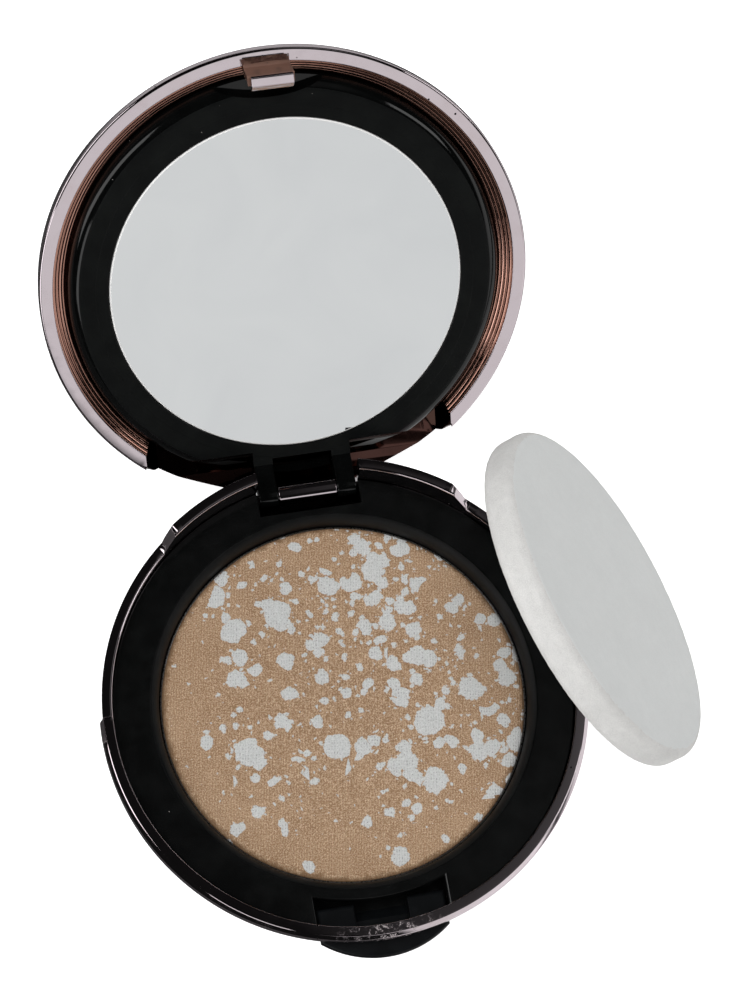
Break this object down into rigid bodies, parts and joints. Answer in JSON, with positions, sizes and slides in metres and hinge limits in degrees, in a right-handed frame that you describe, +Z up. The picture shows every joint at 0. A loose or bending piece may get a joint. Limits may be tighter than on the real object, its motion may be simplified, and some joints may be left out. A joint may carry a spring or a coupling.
{
  "type": "powder compact",
  "caption": "Round plated powder compact, open on its rear hinge, with a pressed cake in a pan, a mirror in the lid, a push-button catch and a loose velour puff.",
  "frame": {"origin": "centre of the flat underside of the base, on the surface the compact stands on", "axes": "+Z up out of the base, +Y towards the hinge, -Y towards the push button"},
  "size_m": [0.0974, 0.1333, 0.0619],
  "materials": {
    "base_shell": "rose-gold metallised plastic, mirror bright",
    "inner_tray": "gloss black",
    "pan_adhesive": "double-sided adhesive film",
    "powder_pan": "pressed metal, plain",
    "pressed_powder": "pressed powder, matt, with off-white splatter",
    "push_button": "gloss black",
    "hinge_pin": "plain steel wire",
    "lid_shell": "rose-gold metallised plastic, mirror bright",
    "lid_catch": "rose-gold metallised plastic, mirror bright",
    "mirror_frame": "black, satin on the flat ring and gloss on the shoulder",
    "mirror_adhesive": "double-sided adhesive film",
    "mirror_glass": "silvered glass",
    "powder_puff": "white velour over foam"
  },
  "bodies": {
    "base": {"base_shell": "base_shell", "inner_tray": "inner_tray", "pan_adhesive": "pan_adhesive", "powder_pan": "powder_pan", "pressed_powder": "pressed_powder", "hinge_pin": "hinge_pin"},
    "button": {"push_button": "push_button"},
    "lid": {"lid_shell": "lid_shell", "lid_catch": "lid_catch", "mirror_frame": "mirror_frame", "mirror_adhesive": "mirror_adhesive", "mirror_glass": "mirror_glass"},
    "puff": {"powder_puff": "powder_puff"}
  },
  "joints": [
    {"name": "lid_hinge", "type": "hinge", "parent": "base", "child": "lid", "pos_m": [0, 0.0357, 0.0086], "axis": [-1, 0, 0], "range_deg": [-133.8, 3]},
    {"name": "button_push", "type": "slide", "parent": "base", "child": "button", "axis": [0, 1, 0], "range_m": [0, 0.0012], "stiffness_N_per_m": 800},
    {"name": "puff_slide", "type": "slide", "parent": "base", "child": "puff", "axis": [0.9796, 0.2011, 0], "range_m": [-0.002, 0.042]}
  ],
  "couplings": [
    {"joint": "puff_slide", "follows": "lid_hinge", "m_per_rad": -0.0171}
  ]
}
